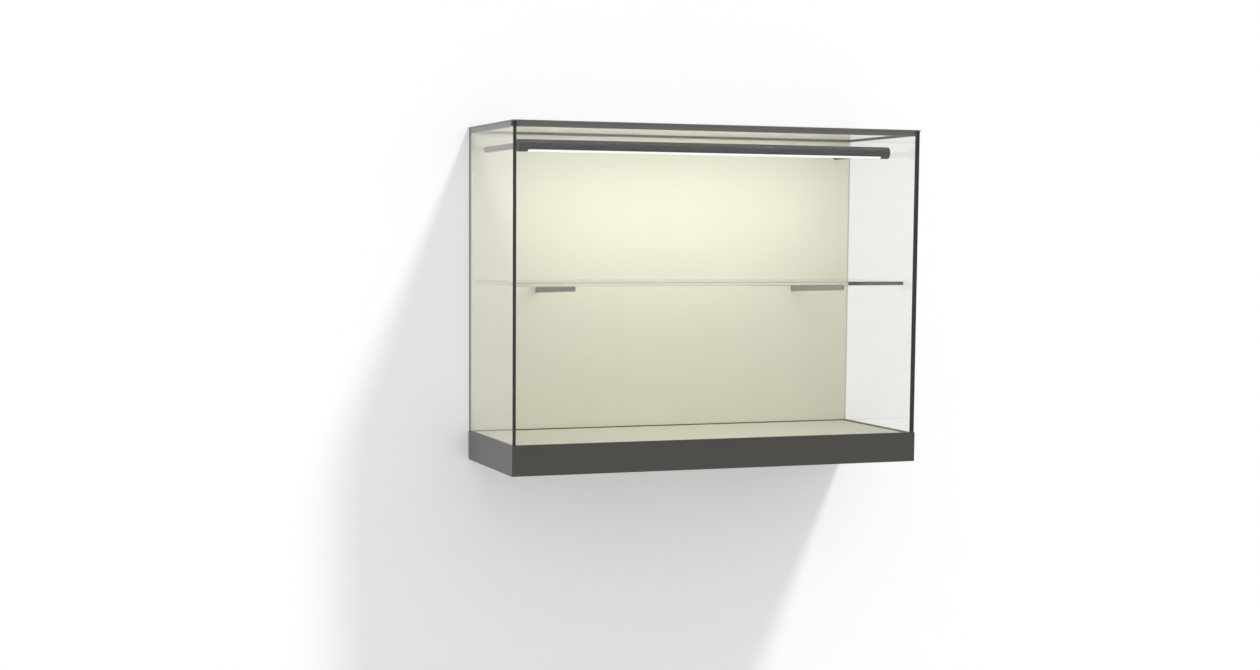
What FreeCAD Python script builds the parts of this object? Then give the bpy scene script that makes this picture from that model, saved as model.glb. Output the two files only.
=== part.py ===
"""Wall mounted showcase: a glass hood that pulls forward off a wall-hung back and base.

The fixed unit is screwed to the wall. It is a steel back plate with a beige board, a base tray
under a display deck, a glass shelf on two brackets and a light tube on two arms.
The hood is three mitred panes, a glazed top frame and the plinth rails. It runs forward on two
telescopic runners, and two cam locks in the underside hold it shut.

Every piece is drawn in a bench frame: u runs right from the left outline, v runs back from the
front outline, and w runs up from the underside. The placement of each piece then moves it to
the part's own frame, whose origin is the centre of the four wall fixings, with +Y into the wall.
"""
import FreeCAD, Part
import os
import re

import Sketcher

# ---------------------------------------------------------------- driving dimensions, millimetres
DIMENSIONS = {
    # outline of the closed case
    "case_width": 1155,
    "case_depth": 400,
    "case_height": 900,
    "plinth_height": 79,
    # glazing of the hood
    "pane_thickness": 9.5,
    "corner_joint": 1,
    "top_glass_thickness": 9.5,
    "arris": 0.8,
    # top frame
    "cap_thickness": 3,
    "top_frame_height": 16.5,
    "web_thickness": 2,
    "lip_thickness": 2.4,
    "lip_reach": 6,
    "glazing_tape": 1,
    "back_bar_gap": 1,
    # plinth rails that the panes stand in
    "skirt_thickness": 2,
    "channel_depth": 16,
    "channel_floor": 3,
    "rim_width": 4,
    "skirt_flange_reach": 10,
    "skirt_flange_thickness": 2,
    "setting_block_length": 60,
    "setting_block_height": 2,
    "setting_block_inset": 120,
    "rear_seal_thickness": 1.5,
    # back of the case
    "back_plate_thickness": 2.5,
    "board_thickness": 3.5,
    "back_side_gap": 1,
    "back_plate_top_gap": 3.5,
    "board_top_gap": 15,
    # wall fixings
    "fixing_hole": 7,
    "fixing_inset": 77.5,
    "fixing_low_height": 40.5,
    "fixing_top_gap": 9.5,
    # base tray and deck
    "tray_wall": 2,
    "tray_clearance": 3,
    "tray_front_setback": 55,
    "tray_screw": 6,
    "tray_screw_height": 56,
    "tray_screw_inset": 337.5,
    "deck_thickness": 4,
    "deck_recess": 3,
    "deck_side_gap": 1.5,
    "trim_thickness": 2,
    "trim_rise": 3,
    "bearer_width": 24,
    "bearer_height": 16,
    "bearer_wall": 1.5,
    "bearer_inset": 287.5,
    # glass shelf and its brackets
    "shelf_height": 490.6,
    "shelf_thickness": 10,
    "shelf_end_gap": 10,
    "shelf_front_setback": 46,
    "shelf_rear_gap": 1,
    "pad_thickness": 1,
    "pad_length": 30,
    "bracket_inset": 190.5,
    "bracket_blade": 3,
    "bracket_front_setback": 70,
    "bracket_root_height": 25.3,
    "bracket_tip_height": 12.6,
    "bracket_tip_radius": 3,
    "bracket_slot_gap": 0.3,
    "bracket_flange_width": 34,
    "bracket_flange_height": 70,
    "bracket_flange_thickness": 1.5,
    "bracket_screw": 5,
    "bracket_screw_spacing": 56,
    # light tube and its arms
    "light_drop": 59,
    "light_setback": 105,
    "light_diameter": 32,
    "light_wall": 2.5,
    "light_end_inset": 45,
    "light_lens_depth": 5.6,
    "light_web": 2,
    "light_joint_gap": 0.3,
    "socket_length": 25.5,
    "end_plate": 4,
    "trunnion_diameter": 8,
    "trunnion_length": 8,
    "trunnion_clearance": 0.05,
    "led_board_width": 12,
    "led_board_thickness": 1.6,
    "arm_inset": 56.5,
    "arm_diameter": 16,
    "arm_bore": 12,
    "arm_seat": 6,
    # light supply
    "ribbon_width": 8,
    "ribbon_thickness": 1.2,
    "ribbon_clearance": 0.2,
    "driver_length": 150,
    "driver_width": 42,
    "driver_height": 28,
    "grommet_bore": 9,
    "grommet_body": 16,
    "grommet_flange": 22,
    "grommet_flange_thickness": 2,
    # telescopic runners, as three nested channels a side
    "runner_front_setback": 57,
    "runner_rear_gap": 5.5,
    "runner_centre_height": 34.5,
    "runner_height": 45,
    "runner_width": 12.7,
    "runner_gauge": 1.5,
    "runner_nesting": 3,
    "runner_flange_width": 7.5,
    "glide_thickness": 1.2,
    "glide_width": 5,
    "carrier_thickness": 3,
    "carrier_gap": 0.3,
    "runner_screw": 5,
    "runner_screw_inset": 40,
    # cam locks in the underside
    "lock_inset": 147.5,
    "lock_setback": 24,
    "lock_barrel": 19,
    "lock_barrel_length": 24,
    "lock_bezel": 22,
    "lock_bezel_thickness": 2,
    "lock_plug": 12,
    "lock_plug_clearance": 0.05,
    "lock_bracket_width": 44,
    "lock_bracket_length": 38,
    "lock_bracket_thickness": 3,
    "cam_width": 10,
    "cam_reach": 26,
    "cam_tail": 8,
    "cam_thickness": 2.5,
    "cam_lift": 2,
    "key_slot_width": 1.2,
    "key_slot_length": 8,
    "key_slot_depth": 6,
    "keeper_offset": 14,
    "keeper_width": 12,
    "keeper_thickness": 2.2,
    "keeper_clearance": 0.8,
    "keeper_flange_height": 26,
}

# ---------------------------------------------------------------- levels and offsets, as formulas
# offsets are measured in from the outline, and are the same on the left, the right and the front
PANE_OUT = "skirt_thickness"
PANE_IN = "(skirt_thickness + pane_thickness)"
RIM_IN = "(skirt_thickness + pane_thickness + rim_width)"
WEB_IN = "(skirt_thickness + pane_thickness + web_thickness)"
LIP_IN = "(skirt_thickness + pane_thickness + web_thickness + lip_reach)"
DECK_EDGE = "(skirt_thickness + pane_thickness + rim_width + deck_side_gap)"
BACK_EDGE = "(skirt_thickness + pane_thickness + back_side_gap)"
TRAY_SIDE = ("(skirt_thickness + pane_thickness + rim_width"
             " + carrier_gap + carrier_thickness + runner_width)")

# positions along v, from the front outline back to the wall
PLATE_FACE = "(case_depth - back_plate_thickness)"
BOARD_FACE = "(case_depth - back_plate_thickness - board_thickness)"
HOOD_REAR = "(case_depth - rear_seal_thickness)"
BAR_REAR = "(case_depth - back_plate_thickness - board_thickness - back_bar_gap)"

# levels along w, from the underside
FLOOR_TOP = "(plinth_height - channel_depth)"
FLOOR_UNDER = "(plinth_height - channel_depth - channel_floor)"
PANE_FOOT = "(plinth_height - channel_depth + setting_block_height)"
CAP_UNDER = "(case_height - cap_thickness)"
FRAME_FOOT = "(case_height - top_frame_height)"
LIP_TOP = "(case_height - top_frame_height + lip_thickness)"
TOP_GLASS_FOOT = "(case_height - top_frame_height + lip_thickness + glazing_tape)"
DECK_TOP = "(plinth_height - deck_recess)"
DECK_UNDER = "(plinth_height - deck_recess - deck_thickness)"
SHELF_UNDER = "(shelf_height - shelf_thickness)"
BRACKET_TOP = "(shelf_height - shelf_thickness - pad_thickness)"
BRACKET_MIDDLE = "(shelf_height - shelf_thickness - pad_thickness - bracket_root_height / 2)"
FIXING_TOP = "(case_height - fixing_top_gap)"
FIXING_CENTRE = "((fixing_low_height + case_height - fixing_top_gap) / 2)"
LIGHT_LEVEL = "(case_height - light_drop)"
CAM_FOOT = "(lock_barrel_length + cam_lift)"

SIDES = ("left", "right")
ALONG_U = FreeCAD.Rotation(FreeCAD.Vector(0, 1, 0), 90)
ALONG_V = FreeCAD.Rotation(FreeCAD.Vector(1, 0, 0), -90)
ALONG_W = FreeCAD.Rotation()

doc = FreeCAD.newDocument("wall_showcase")
sheet = doc.addObject("Spreadsheet::Sheet", "dims")
for row, (alias, number) in enumerate(DIMENSIONS.items(), start=1):
    sheet.set("A%d" % row, alias)
    sheet.set("B%d" % row, str(number))
    sheet.setAlias("B%d" % row, alias)
doc.recompute()

NODES = []


# ---------------------------------------------------------------- helpers
def formula(text):
    """Write a formula in the sheet's names as a FreeCAD expression, sparing its functions."""
    names = r"\b[a-z][a-z_]*\b(?!\()"
    return re.sub(names, lambda found: "dims." + found.group(0), str(text))


def bind(thing, prop, text):
    thing.setExpression(prop, formula(text))


def put_at(thing, place, turn=ALONG_W):
    thing.Placement = FreeCAD.Placement(FreeCAD.Vector(), turn)
    for axis, text in zip("xyz", place):
        bind(thing, "Placement.Base." + axis, text)


def finish(thing, label):
    """Move a whole piece from the bench frame to the part's frame and list it as a node."""
    if thing.isDerivedFrom("Part::Primitive"):
        thing = group([thing])
    shift = ("-case_width / 2", "-case_depth", "-" + FIXING_CENTRE)
    for axis, text in zip("xyz", shift):
        bind(thing, "Placement.Base." + axis, text)
    thing.Label = label
    NODES.append(thing)
    return thing


def box(start, size):
    block = doc.addObject("Part::Box", "block")
    for prop, text in zip(("Length", "Width", "Height"), size):
        bind(block, prop, text)
    put_at(block, start)
    return block


def rod(start, diameter, length, turn):
    """A cylinder that starts at a point and runs along u, v or w."""
    bar = doc.addObject("Part::Cylinder", "rod")
    bind(bar, "Radius", "(%s) / 2" % diameter)
    bind(bar, "Height", length)
    put_at(bar, start, turn)
    return bar


def fuse(pieces):
    if len(pieces) == 1:
        return pieces[0]
    joined = doc.addObject("Part::MultiFuse", "joined")
    joined.Shapes = pieces
    joined.Refine = True
    return joined


def cut(base, tools):
    carved = doc.addObject("Part::Cut", "carved")
    carved.Base = base
    carved.Tool = fuse(tools)
    carved.Refine = True
    return carved


def common(first, second):
    shared = doc.addObject("Part::MultiCommon", "shared")
    shared.Shapes = [first, second]
    return shared


def group(pieces):
    """Separate solids that share one node, such as a set of screws."""
    bundle = doc.addObject("Part::Compound", "bundle")
    bundle.Links = pieces
    return bundle


def plane(body, role):
    return [item for item in body.Origin.OriginFeatures if item.Role == role][0]


def outline(body, role, height, points):
    """A closed sketch through points given as pairs of formulas, raised off an origin plane."""
    sketch = body.newObject("Sketcher::SketchObject", "outline")
    sketch.AttachmentSupport = (plane(body, role), [""])
    sketch.MapMode = "FlatFace"
    bind(sketch, "AttachmentOffset.Base.z", height)
    count = len(points)
    for corner in range(count):
        here = FreeCAD.Vector(10 + 5 * (corner % 2), 10 + corner, 0)
        there = FreeCAD.Vector(10 + 5 * ((corner + 1) % 2), 10 + (corner + 1) % count, 0)
        sketch.addGeometry(Part.LineSegment(here, there), False)
    for corner in range(count):
        after = (corner + 1) % count
        sketch.addConstraint(Sketcher.Constraint("Coincident", corner, 2, after, 1))
    for corner, pair in enumerate(points):
        for direction, text in zip(("DistanceX", "DistanceY"), pair):
            gap = Sketcher.Constraint(direction, -1, 1, corner, 1, 10.0)
            index = sketch.addConstraint(gap)
            bind(sketch, "Constraints[%d]" % index, text)
    return sketch


def pad(body, sketch, length):
    slab = body.newObject("PartDesign::Pad", "slab")
    slab.Profile = sketch
    bind(slab, "Length", length)
    body.Tip = slab
    return slab


def from_right(distance):
    return "case_width - (%s)" % distance


def side_start(side, offset, width):
    """Where a piece of this width starts, its outer face this far in from its own side."""
    return offset if side == "left" else from_right("%s + %s" % (offset, width))


def from_tray(side, start, width):
    """Where a runner part starts, this far out from the side of the tray."""
    if side == "left":
        return "%s - (%s) - (%s)" % (TRAY_SIDE, start, width)
    return from_right("%s - (%s)" % (TRAY_SIDE, start))


def inset_place(side, inset):
    """A place this far in from its own side."""
    return inset if side == "left" else from_right(inset)


def across(inset):
    """Three places across the case: this far in from the left, the middle, and the right."""
    return (inset, "case_width / 2", from_right(inset))


def front_strip(outer, inner, relief="0"):
    """Plan of a mitred strip along the front, between two offsets from the outline."""
    return [("%s + %s" % (outer, relief), outer),
            (from_right("%s + %s" % (outer, relief)), outer),
            (from_right("%s + %s" % (inner, relief)), inner),
            ("%s + %s" % (inner, relief), inner)]


def side_strip(side, outer, inner, rear, relief="0"):
    """Plan of a mitred strip down one side, from the front corner back to rear."""
    plan = [(outer, "%s + %s" % (outer, relief)),
            (inner, "%s + %s" % (inner, relief)),
            (inner, rear),
            (outer, rear)]
    if side == "right":
        plan = [(from_right(u), v) for u, v in plan]
    return plan


def strip_body(slabs):
    """One extruded rail, as slabs of (plan, foot, height) that share their faces."""
    body = doc.addObject("PartDesign::Body", "rail")
    for plan, foot, height in slabs:
        pad(body, outline(body, "XY_Plane", foot, plan), height)
    return body


# ---------------------------------------------------------------- hood: panes and corner joints
JOINT_RELIEF = "corner_joint * sqrt(2) / 2"
PANE_HEIGHT = "%s - %s" % (CAP_UNDER, PANE_FOOT)


def panes():
    front = strip_body([(front_strip(PANE_OUT, PANE_IN, JOINT_RELIEF), PANE_FOOT, PANE_HEIGHT)])
    finish(front, "front_pane")
    for side in SIDES:
        plan = side_strip(side, PANE_OUT, PANE_IN, HOOD_REAR, JOINT_RELIEF)
        finish(strip_body([(plan, PANE_FOOT, PANE_HEIGHT)]), side + "_pane")


def corner_seals():
    """A black bead fills each mitre and ends flush with the inner faces of the panes."""
    for side in SIDES:
        plan = [(PANE_OUT, PANE_OUT),
                ("%s + %s" % (PANE_OUT, JOINT_RELIEF), PANE_OUT),
                ("%s + %s" % (PANE_IN, JOINT_RELIEF), PANE_IN),
                (PANE_IN, PANE_IN),
                (PANE_IN, "%s + %s" % (PANE_IN, JOINT_RELIEF)),
                (PANE_OUT, "%s + %s" % (PANE_OUT, JOINT_RELIEF))]
        if side == "right":
            plan = [(from_right(u), v) for u, v in plan]
        finish(strip_body([(plan, PANE_FOOT, PANE_HEIGHT)]), "corner_seal_" + side)


def rear_seals():
    seals = []
    for side in SIDES:
        start = side_start(side, PANE_OUT, "pane_thickness")
        seals.append(box((start, HOOD_REAR, PANE_FOOT),
                         ("pane_thickness", "rear_seal_thickness", PANE_HEIGHT)))
    finish(group(seals), "rear_seals")


# ---------------------------------------------------------------- hood: top frame and top glass
WEB_HEIGHT = "top_frame_height - cap_thickness"


def top_frame():
    """Cap over the pane edges, web behind the panes and lip under the top glass."""
    slabs = [(front_strip("0", WEB_IN), CAP_UNDER, "cap_thickness"),
             (front_strip(PANE_IN, WEB_IN), FRAME_FOOT, WEB_HEIGHT),
             (front_strip(WEB_IN, LIP_IN), FRAME_FOOT, "lip_thickness")]
    finish(strip_body(slabs), "top_bar_front")
    web_front = "%s - web_thickness" % BAR_REAR
    for side in SIDES:
        slabs = [(side_strip(side, "0", WEB_IN, "case_depth"), CAP_UNDER, "cap_thickness"),
                 (side_strip(side, PANE_IN, WEB_IN, BAR_REAR), FRAME_FOOT, WEB_HEIGHT),
                 (side_strip(side, WEB_IN, LIP_IN, web_front), FRAME_FOOT, "lip_thickness")]
        finish(strip_body(slabs), "top_bar_" + side)
    span = "case_width - 2 * %s" % WEB_IN
    lip_span = "case_width - 2 * %s" % LIP_IN
    cap = box((WEB_IN, web_front, CAP_UNDER),
              (span, "case_depth - (%s)" % web_front, "cap_thickness"))
    web = box((WEB_IN, web_front, FRAME_FOOT), (span, "web_thickness", WEB_HEIGHT))
    lip = box((LIP_IN, "%s - lip_reach" % web_front, FRAME_FOOT),
              (lip_span, "lip_reach", "lip_thickness"))
    finish(fuse([cap, web, lip]), "top_bar_back")


GLASS_EDGE = "(%s + glazing_tape)" % WEB_IN
GLASS_REAR = "(%s - web_thickness - glazing_tape)" % BAR_REAR


def top_glass():
    body = doc.addObject("PartDesign::Body", "glass")
    plan = [(GLASS_EDGE, GLASS_EDGE),
            (from_right(GLASS_EDGE), GLASS_EDGE),
            (from_right(GLASS_EDGE), GLASS_REAR),
            (GLASS_EDGE, GLASS_REAR)]
    pad(body, outline(body, "XY_Plane", TOP_GLASS_FOOT, plan), "top_glass_thickness")
    finish(body, "top_glass")


def ring(outer, rear, width, foot, height):
    """A rectangular ring, its outer edge this far in from the outline and from the rear."""
    outside = box((outer, outer, foot),
                  ("case_width - 2 * (%s)" % outer, "%s - (%s)" % (rear, outer), height))
    hole = box(("%s + %s" % (outer, width), "%s + %s" % (outer, width), foot),
               ("case_width - 2 * (%s + %s)" % (outer, width),
                "%s - (%s) - 2 * (%s)" % (rear, outer, width), height))
    return cut(outside, [hole])


def top_glazing_seal():
    """Tape on the lip, and a bead between the glass edge and the web."""
    web_front = "(%s - web_thickness)" % BAR_REAR
    tape = ring(WEB_IN, web_front, "lip_reach - glazing_tape", LIP_TOP, "glazing_tape")
    bead = ring(WEB_IN, web_front, "glazing_tape", TOP_GLASS_FOOT, "top_glass_thickness")
    finish(fuse([tape, bead]), "top_glazing_seal")


# ---------------------------------------------------------------- hood: plinth rails
def plinth_rails():
    """Outer skirt, channel floor, inner rim and bottom flange of each plinth rail."""
    floor_rear = "(%s - back_bar_gap)" % BOARD_FACE
    flange_in = "(skirt_thickness + skirt_flange_reach)"
    levels = [("0", PANE_OUT, "0", "plinth_height", HOOD_REAR),
              (PANE_OUT, RIM_IN, FLOOR_UNDER, "channel_floor", floor_rear),
              (PANE_IN, RIM_IN, FLOOR_TOP, "channel_depth", floor_rear),
              (PANE_OUT, flange_in, "0", "skirt_flange_thickness", HOOD_REAR)]
    front = [(front_strip(outer, inner), foot, height)
             for outer, inner, foot, height, rear in levels]
    finish(strip_body(front), "rail_front")
    for side in SIDES:
        slabs = [(side_strip(side, outer, inner, rear), foot, height)
                 for outer, inner, foot, height, rear in levels]
        rail = strip_body(slabs)
        finish(cut(rail, carrier_bolts(side)), "rail_" + side)


def setting_blocks():
    size = ("setting_block_length", "pane_thickness", "setting_block_height")
    turned = ("pane_thickness", "setting_block_length", "setting_block_height")
    far = "setting_block_inset + setting_block_length"
    blocks = [box(("setting_block_inset", PANE_OUT, FLOOR_TOP), size),
              box((from_right(far), PANE_OUT, FLOOR_TOP), size)]
    for side in SIDES:
        start = side_start(side, PANE_OUT, "pane_thickness")
        rear = "case_depth - (%s)" % far
        blocks.append(box((start, "setting_block_inset / 2", FLOOR_TOP), turned))
        blocks.append(box((start, rear, FLOOR_TOP), turned))
    finish(group(blocks), "setting_blocks")


# ---------------------------------------------------------------- runners and their carriers
RUNNER_FOOT = "(runner_centre_height - runner_height / 2)"
RUNNER_LENGTH = "(%s - runner_front_setback - runner_rear_gap)" % PLATE_FACE
RUNNER_SCREWS = ("runner_front_setback + runner_screw_inset",
                 "runner_front_setback + %s / 2" % RUNNER_LENGTH,
                 "runner_front_setback + %s - runner_screw_inset" % RUNNER_LENGTH)


def channel(side, web_start, flange_start, step):
    """One member of a runner: a web and two flanges, smaller by one nesting each step in."""
    height = "(runner_height - 2 * %d * runner_nesting)" % step
    foot = "(runner_centre_height - %s / 2)" % height
    front = "runner_front_setback"
    web = box((from_tray(side, web_start, "runner_gauge"), front, foot),
              ("runner_gauge", RUNNER_LENGTH, height))
    flanges = []
    for level in (foot, "%s + %s - runner_gauge" % (foot, height)):
        start = from_tray(side, flange_start, "runner_flange_width")
        flanges.append(box((start, front, level),
                           ("runner_flange_width", RUNNER_LENGTH, "runner_gauge")))
    return fuse([web] + flanges)


def runner_bolts(side):
    """Screws that hold the fixed member to the tray."""
    start = from_tray(side, "-tray_wall", "tray_wall + runner_gauge")
    return [rod((start, at, "runner_centre_height"), "runner_screw",
                "tray_wall + runner_gauge", ALONG_U) for at in RUNNER_SCREWS]


def moving_bolts(side):
    """Screws that hold the moving member to its carrier angle."""
    start = from_tray(side, "runner_width - runner_gauge", "runner_gauge + carrier_thickness")
    return [rod((start, at, "runner_centre_height"), "runner_screw",
                "runner_gauge + carrier_thickness", ALONG_U) for at in RUNNER_SCREWS]


def carrier_bolts(side):
    """Screws up through the carrier angle into the channel floor."""
    centre = "%s / 2 + skirt_thickness / 2" % PANE_IN
    start = centre if side == "left" else from_right(centre)
    foot = "%s - carrier_thickness" % FLOOR_UNDER
    return [rod((start, at, foot), "runner_screw", "carrier_thickness + channel_floor", ALONG_W)
            for at in RUNNER_SCREWS]


def carrier(side):
    """Angle that joins the moving member to the channel floor of the side rail."""
    leg_foot = RUNNER_FOOT
    leg_start = side_start(side, RIM_IN + " + carrier_gap", "carrier_thickness")
    leg = box((leg_start, "runner_front_setback", leg_foot),
              ("carrier_thickness", RUNNER_LENGTH, "%s - %s" % (FLOOR_UNDER, leg_foot)))
    shelf_width = "rim_width + pane_thickness + carrier_gap + carrier_thickness"
    shelf = box((side_start(side, "skirt_thickness", shelf_width), "runner_front_setback",
                 "%s - carrier_thickness" % FLOOR_UNDER),
                (shelf_width, RUNNER_LENGTH, "carrier_thickness"))
    return cut(fuse([leg, shelf]), moving_bolts(side) + carrier_bolts(side))


def glides(side):
    """Polymer strips on both faces of both flanges of the middle member."""
    start = from_tray(side, "runner_nesting + runner_gauge", "glide_width")
    outer = "(runner_height / 2 - runner_nesting)"
    inner = "(runner_height / 2 - runner_nesting - runner_gauge - glide_thickness)"
    feet = ["runner_centre_height + " + outer,
            "runner_centre_height + " + inner,
            "runner_centre_height - %s - glide_thickness" % outer,
            "runner_centre_height - %s - glide_thickness" % inner]
    size = ("glide_width", RUNNER_LENGTH, "glide_thickness")
    return group([box((start, "runner_front_setback", foot), size) for foot in feet])


def runners():
    last_flange = "runner_width - runner_flange_width"
    for side in SIDES:
        fixed = channel(side, "0", "0", 0)
        finish(cut(fixed, runner_bolts(side)), "runner_fixed_" + side)
        finish(channel(side, "runner_nesting", "runner_nesting", 1), "runner_middle_" + side)
        moving = channel(side, "runner_width - runner_gauge", last_flange, 2)
        finish(cut(moving, moving_bolts(side)), "runner_moving_" + side)
        finish(glides(side), "runner_glides_" + side)
        finish(carrier(side), "runner_carrier_" + side)
    finish(group(runner_bolts("left") + runner_bolts("right")), "runner_screws")
    bolts = [bolt for side in SIDES for bolt in moving_bolts(side) + carrier_bolts(side)]
    finish(group(bolts), "carrier_screws")


# ---------------------------------------------------------------- back plate and board
BACK_WIDTH = "case_width - 2 * %s" % BACK_EDGE


def fixing_holes(start, depth, levels):
    holes = []
    for side in SIDES:
        for level in levels:
            holes.append(rod((inset_place(side, "fixing_inset"), start, level),
                             "fixing_hole", depth, ALONG_V))
    return holes


def tray_bolts():
    """Screws through the rear wall of the tray into the back plate."""
    start = "%s - tray_wall" % PLATE_FACE
    places = across("tray_screw_inset")
    return [rod((place, start, "tray_screw_height"), "tray_screw",
                "tray_wall + back_plate_thickness", ALONG_V) for place in places]


def bracket_bolts():
    """Screws through each bracket's root flange into the back plate."""
    start = "%s - bracket_flange_thickness" % PLATE_FACE
    bolts = []
    for side in SIDES:
        for sign in "-+":
            level = "%s %s bracket_screw_spacing / 2" % (BRACKET_MIDDLE, sign)
            bolts.append(rod((inset_place(side, "bracket_inset"), start, level), "bracket_screw",
                             "bracket_flange_thickness + back_plate_thickness", ALONG_V))
    return bolts


RIBBON_FOOT = "(tray_clearance + tray_wall + driver_height / 2)"
GROMMET_PLACE = ("(case_width - arm_inset - driver_length - grommet_flange)",
                 "fixing_low_height")


def back_plate():
    foot = "tray_clearance"
    top = "case_height - back_plate_top_gap"
    sheet_metal = box((BACK_EDGE, PLATE_FACE, foot),
                      (BACK_WIDTH, "back_plate_thickness", "%s - %s" % (top, foot)))
    levels = ("fixing_low_height", FIXING_TOP)
    holes = fixing_holes(PLATE_FACE, "back_plate_thickness", levels)
    inlet = rod((GROMMET_PLACE[0], PLATE_FACE, GROMMET_PLACE[1]), "grommet_body",
                "back_plate_thickness", ALONG_V)
    finish(cut(sheet_metal, holes + tray_bolts() + bracket_bolts() + [inlet]), "back_plate")


def back_board():
    """Beige display board with holes for the arms and pockets for the bracket roots."""
    foot = DECK_UNDER
    height = "case_height - board_top_gap - %s" % foot
    board = box((BACK_EDGE, BOARD_FACE, foot), (BACK_WIDTH, "board_thickness", height))
    openings = []
    for side in SIDES:
        openings.append(rod((inset_place(side, "arm_inset"), BOARD_FACE, LIGHT_LEVEL),
                            "arm_diameter", "board_thickness", ALONG_V))
        middle = inset_place(side, "bracket_inset")
        slot = "(bracket_blade + 2 * bracket_slot_gap)"
        openings.append(box(("%s - %s / 2" % (middle, slot), BOARD_FACE,
                             "%s - bracket_root_height - bracket_slot_gap" % BRACKET_TOP),
                            (slot, "board_thickness",
                             "bracket_root_height + 2 * bracket_slot_gap")))
        pocket_width = "(bracket_flange_width + 2 * bracket_slot_gap)"
        pocket_height = "(bracket_flange_height + 2 * bracket_slot_gap)"
        openings.append(box(("%s - %s / 2" % (middle, pocket_width),
                             "%s - bracket_flange_thickness" % PLATE_FACE,
                             "%s - %s / 2" % (BRACKET_MIDDLE, pocket_height)),
                            (pocket_width, "bracket_flange_thickness", pocket_height)))
    groove = "(ribbon_width + 2 * ribbon_clearance)"
    openings.append(box(("%s - %s / 2" % (inset_place("right", "arm_inset"), groove),
                         "%s - ribbon_thickness - ribbon_clearance" % PLATE_FACE, foot),
                        (groove, "ribbon_thickness + ribbon_clearance",
                         "%s - %s" % (LIGHT_LEVEL, foot))))
    finish(cut(board, openings), "back_board")


# ---------------------------------------------------------------- base tray
def tray_plates():
    """Floor, front, rear, left and right plates of the tray, butted edge to edge."""
    width = "(case_width - 2 * %s)" % TRAY_SIDE
    depth = "(%s - tray_front_setback)" % PLATE_FACE
    wall_foot = "(tray_clearance + tray_wall)"
    wall_height = "%s - %s" % (DECK_UNDER, wall_foot)
    rear_start = "%s - tray_wall" % PLATE_FACE
    side_size = ("tray_wall", "%s - 2 * tray_wall" % depth, wall_height)
    plates = {
        "floor": box((TRAY_SIDE, "tray_front_setback", "tray_clearance"),
                     (width, depth, "tray_wall")),
        "front": box((TRAY_SIDE, "tray_front_setback", wall_foot),
                     (width, "tray_wall", wall_height)),
        "rear": box((TRAY_SIDE, rear_start, wall_foot), (width, "tray_wall", wall_height)),
    }
    for side in SIDES:
        start = side_start(side, TRAY_SIDE, "tray_wall")
        plates[side] = box((start, "tray_front_setback + tray_wall", wall_foot), side_size)
    return plates


def base_tray():
    """Welded tray, with the ribbon's notch and the grommet's hole in its rear plate."""
    plates = tray_plates()
    rear_start = "%s - tray_wall" % PLATE_FACE
    notch = "(ribbon_width + 4 * ribbon_clearance)"
    middle = inset_place("right", "arm_inset")
    holes = fixing_holes(rear_start, "tray_wall", ("fixing_low_height",))
    holes.append(box(("%s - %s / 2" % (middle, notch), rear_start,
                      "%s - ribbon_clearance" % RIBBON_FOOT), (notch, "tray_wall", DECK_UNDER)))
    holes.append(rod((GROMMET_PLACE[0], rear_start, GROMMET_PLACE[1]), "grommet_body",
                     "tray_wall", ALONG_V))
    plates["rear"] = cut(plates["rear"], holes + tray_bolts())
    for side in SIDES:
        plates[side] = cut(plates[side], runner_bolts(side))
    finish(group(list(plates.values())), "base_tray")
    finish(group(tray_bolts()), "tray_screws")


# ---------------------------------------------------------------- display deck
def deck():
    trim_front = "(%s - trim_thickness)" % BOARD_FACE
    width = "case_width - 2 * %s" % DECK_EDGE
    body = doc.addObject("PartDesign::Body", "deck")
    plan = [(DECK_EDGE, DECK_EDGE),
            (from_right(DECK_EDGE), DECK_EDGE),
            (from_right(DECK_EDGE), trim_front),
            (DECK_EDGE, trim_front)]
    pad(body, outline(body, "XY_Plane", DECK_UNDER, plan), "deck_thickness")
    finish(body, "deck_board")
    trim = box((DECK_EDGE, trim_front, DECK_UNDER),
               (width, "trim_thickness", "deck_thickness + trim_rise"))
    finish(trim, "deck_rear_trim")


def deck_bearers():
    """Three channels, open below, that carry the deck from front to back of the tray."""
    bearers = []
    for middle in across("bearer_inset"):
        start = "%s - bearer_width / 2" % middle
        front = "tray_front_setback + tray_wall"
        length = "%s - tray_wall - (%s)" % (PLATE_FACE, front)
        outside = box((start, front, "%s - bearer_height" % DECK_UNDER),
                      ("bearer_width", length, "bearer_height"))
        inside = box(("%s + bearer_wall" % start, front, "%s - bearer_height" % DECK_UNDER),
                     ("bearer_width - 2 * bearer_wall", length, "bearer_height - bearer_wall"))
        bearers.append(cut(outside, [inside]))
    finish(group(bearers), "deck_bearers")


# ---------------------------------------------------------------- shelf and brackets
def glass_shelf():
    """Toughened shelf with ground arrises."""
    end = "(%s + shelf_end_gap)" % PANE_IN
    rear = "(%s - shelf_rear_gap)" % BOARD_FACE
    body = doc.addObject("PartDesign::Body", "shelf")
    plan = [(end, "shelf_front_setback"),
            (from_right(end), "shelf_front_setback"),
            (from_right(end), rear),
            (end, rear)]
    slab = pad(body, outline(body, "XY_Plane", SHELF_UNDER, plan), "shelf_thickness")
    doc.recompute()
    edges = ["Edge%d" % (number + 1) for number in range(len(slab.Shape.Edges))]
    ground = body.newObject("PartDesign::Chamfer", "ground_edges")
    ground.Base = (slab, edges)
    bind(ground, "Size", "arris")
    body.Tip = ground
    finish(body, "glass_shelf")


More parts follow.
